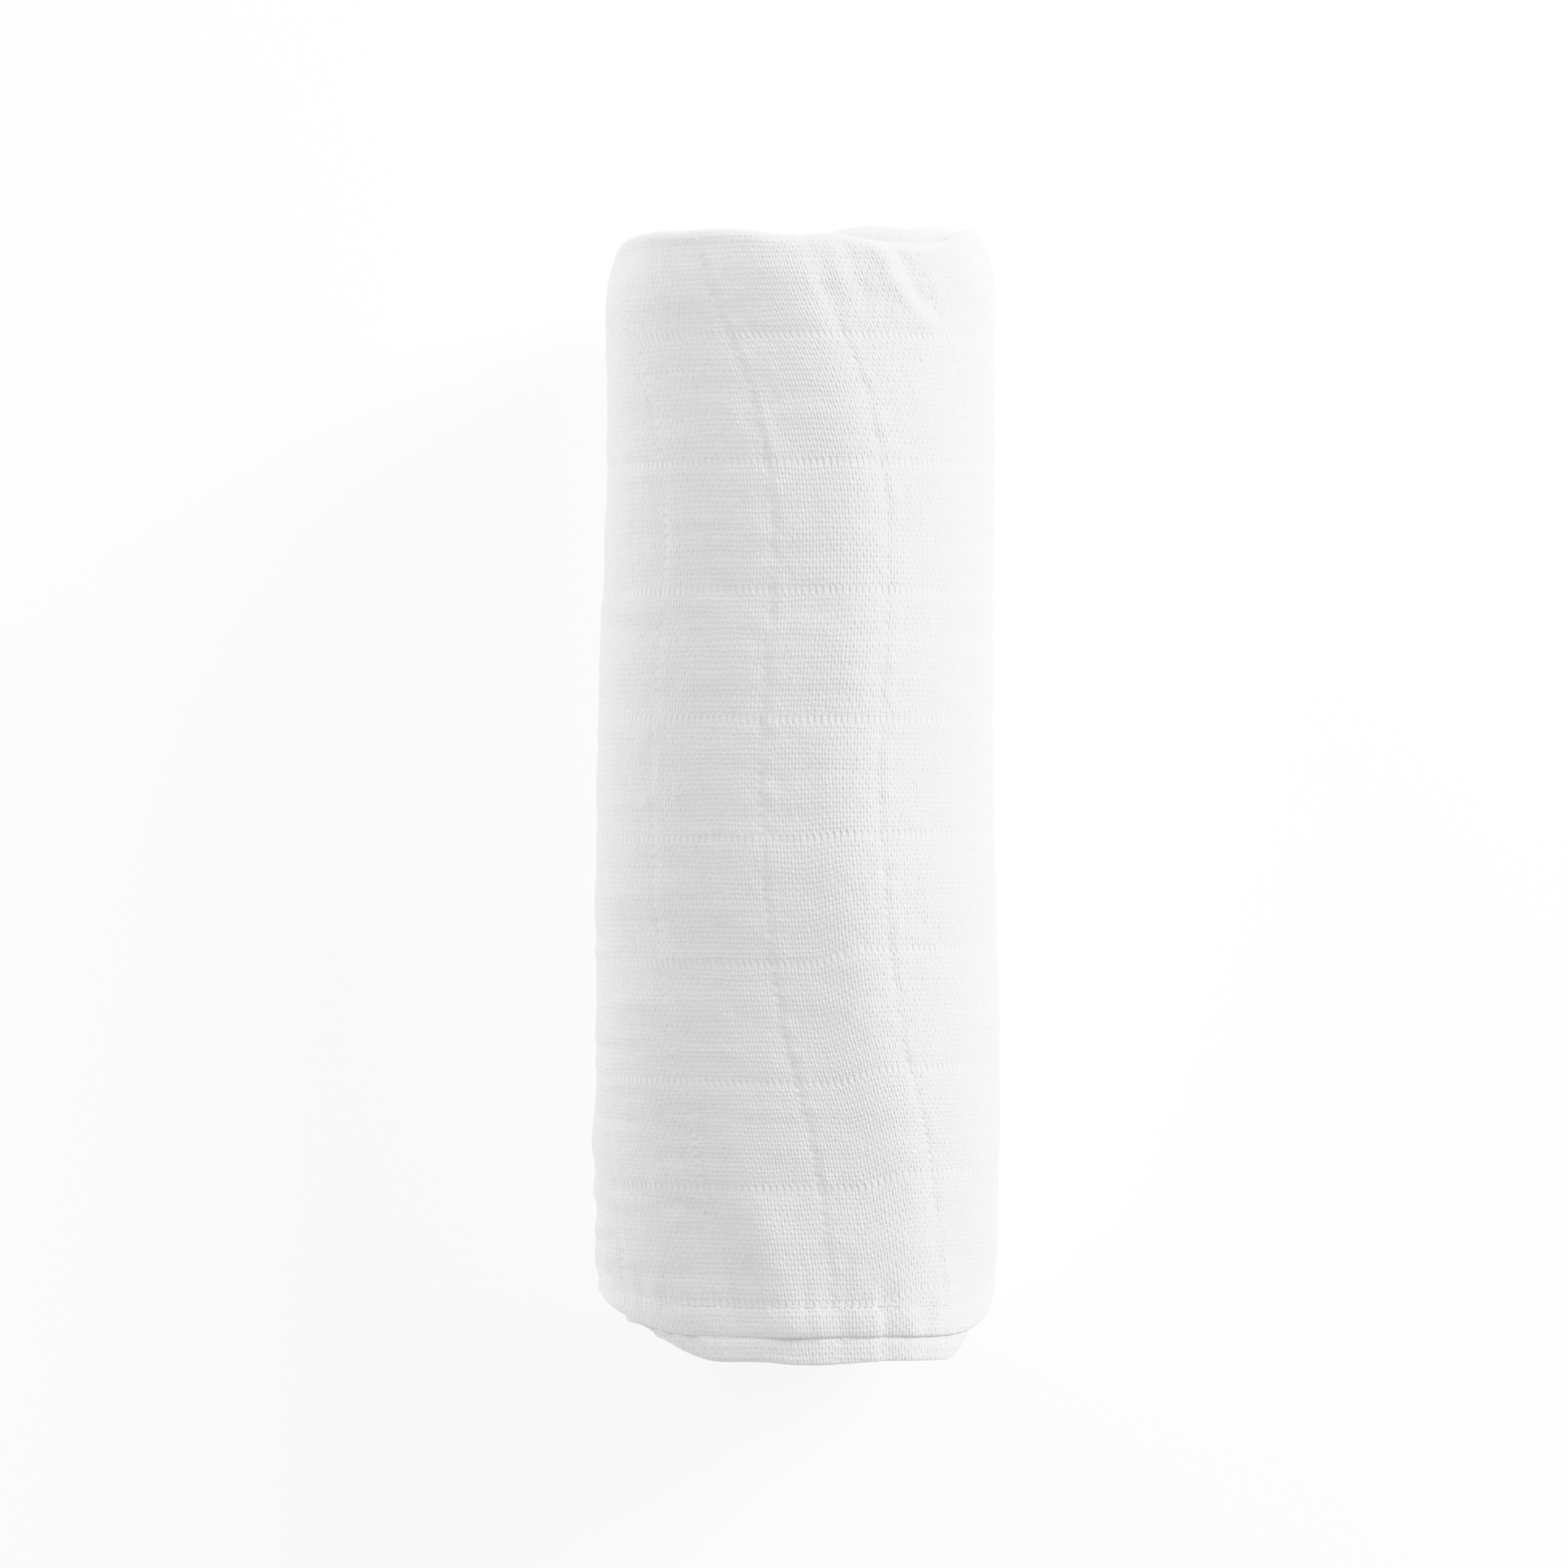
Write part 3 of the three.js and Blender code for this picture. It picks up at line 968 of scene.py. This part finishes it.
def add_floor():
    """A white surface that glows a little, so that the shadows on it stay light."""
    mesh = bpy.data.meshes.new("floor")
    corners = [(x * FLOOR_HALF, y * FLOOR_HALF, 0) for x, y in ((-1, -1), (1, -1), (1, 1), (-1, 1))]
    mesh.from_pydata(corners, [], [(0, 1, 2, 3)])
    floor = bpy.data.objects.new("floor", mesh)
    g = Graph("floor_white")
    mottle = g.nodes.new("ShaderNodeTexNoise")
    mottle.inputs["Scale"].default_value = 3
    g.feed(g.shader.inputs["Base Color"], g.mix(mottle.outputs["Fac"], grey(0.90), grey(0.92)))
    g.shader.inputs["Roughness"].default_value = 1.0
    g.shader.inputs["Specular IOR Level"].default_value = 0.0
    g.shader.inputs["Emission Color"].default_value = (1, 1, 1, 1)
    g.shader.inputs["Emission Strength"].default_value = FLOOR_GLOW
    mesh.materials.append(g.material)
    bpy.context.collection.objects.link(floor)


# ---- Putting the wrap together -------------------------------------------------------------------
FINE = 1.0 * MM
MEDIUM = 2.2 * MM
TUCKED = FIRST_HINGE - 366  # the second turn is finely made until it is well under the outer turn
LINK_START = SECOND_START - 720 + 90  # the roll carries the cloth down to here
LINK_END = LINK_START - 180  # and the core from here
TIP_INSET = 2 * MM  # the cloth ends this far inside the hems at the strip's two ends
START_TIP = float(angle_at(run_at(FREE_END) + TIP_INSET))
END_TIP = float(angle_at(run_at(CORE_END) - TIP_INSET))
FLAP_START = FIRST_HINGE - PANEL / 2  # the flap's pieces are cut half a panel to each side of its hinges
HIDDEN_SHARES = ply_shares(2.0 * MM, 9 * MM)
OUTER_SHARES = [ply_shares(FINE, FINE)] + [HIDDEN_SHARES] * 3
INNER_SHARES = [ply_shares(1.6 * MM, 3.5 * MM)] + [HIDDEN_SHARES] * 3


def attach(piece, bodies):
    """One body carries a piece. A piece that lies between two bodies is carried by neither, and its
    transform is baked into its mesh.
    """
    if len(bodies) == 1:
        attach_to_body(piece, bodies[0])
    else:
        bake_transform(piece)


def add_stretch(name, start, end, bodies, nodes, step, shares, materials, span=None):
    """A stretch of the strip, from start down to end: its cloth, its hems and their stitches."""
    pieces = {
        "": (cloth_piece(f"{name}_cloth", start, end, step, shares), "muslin"),
        "_side_hem": (side_hems(f"{name}_hems", start, end, step), "hem"),
        "_stitching": (side_stitches(f"{name}_stitches", start, end), "thread"),
    }
    for suffix, (piece, slot) in pieces.items():
        piece.data.materials.append(materials[slot])
        attach(piece, bodies)
        if nodes:
            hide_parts(*[node + suffix for node in nodes])


def add_single(piece, body, slot, node, materials):
    """A piece that one body carries, in the place of one node."""
    piece.data.materials.append(materials[slot])
    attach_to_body(piece, body)
    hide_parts(node)


def add_flap(materials):
    """The free flap, one piece for each panel, each lying between the body before it and its own."""
    low = FLAP_START
    for panel in range(1, FLAP_PANELS + 1):
        node = f"flap_{panel}"
        bodies = ["roll" if panel == 1 else f"flap_{panel - 1}", node]
        high = FLAP_START + PANEL * panel
        start = START_TIP if panel == FLAP_PANELS else high
        add_stretch(node, start, low, bodies, [node], FINE, OUTER_SHARES, materials, (low, high))
        low = high


def add_wrap():
    """Every stretch of the cloth from the free end in, and then the end hems and the label."""
    materials = {
        # each gauze's first grey is painted shade for its gaps and holes, and the second is the threads'
        # own colour
        "muslin": gauze("muslin", grey(0.77), grey(0.86)),
        "hem": gauze("hem_muslin", grey(0.81), grey(0.87)),
        "thread": cotton_thread(),
        "label": satin(),
    }
    roll, core, both = ["roll"], ["core"], ["roll", "core"]
    core_nodes = ["fourth_turn", "fifth_turn", "sixth_turn", "core_turn"]
    fine, medium = (FINE, OUTER_SHARES, materials), (MEDIUM, INNER_SHARES, materials)
    add_stretch("outer", FLAP_START, SECOND_START, roll, ["outer_turn"], *fine)
    add_flap(materials)
    add_stretch("second", SECOND_START, TUCKED, roll, ["second_turn"], *fine)
    add_stretch("wound", TUCKED, LINK_START, roll, ["third_turn"], *medium)
    add_stretch("link", LINK_START, LINK_END, both, [], *medium, (LINK_START, LINK_END))
    add_stretch("core", LINK_END, END_TIP, core, core_nodes, *medium)

    free_edge = end_hem("free_end_edge", FREE_END, 1, OUTER_SHARES)
    core_edge = end_hem("core_end_edge", CORE_END, -1, INNER_SHARES)
    free_stitches = free_end_stitches("free_end_stitches")
    add_single(free_edge, "flap_4", "hem", "free_end_hem", materials)
    add_single(core_edge, "core", "hem", "core_end_hem", materials)
    add_single(free_stitches, "flap_4", "thread", "free_end_stitching", materials)
    add_single(care_label("blank_label"), "flap_4", "label", "care_label", materials)


add_camera()
soften_highlights()
add_lights()
add_floor()
add_wrap()
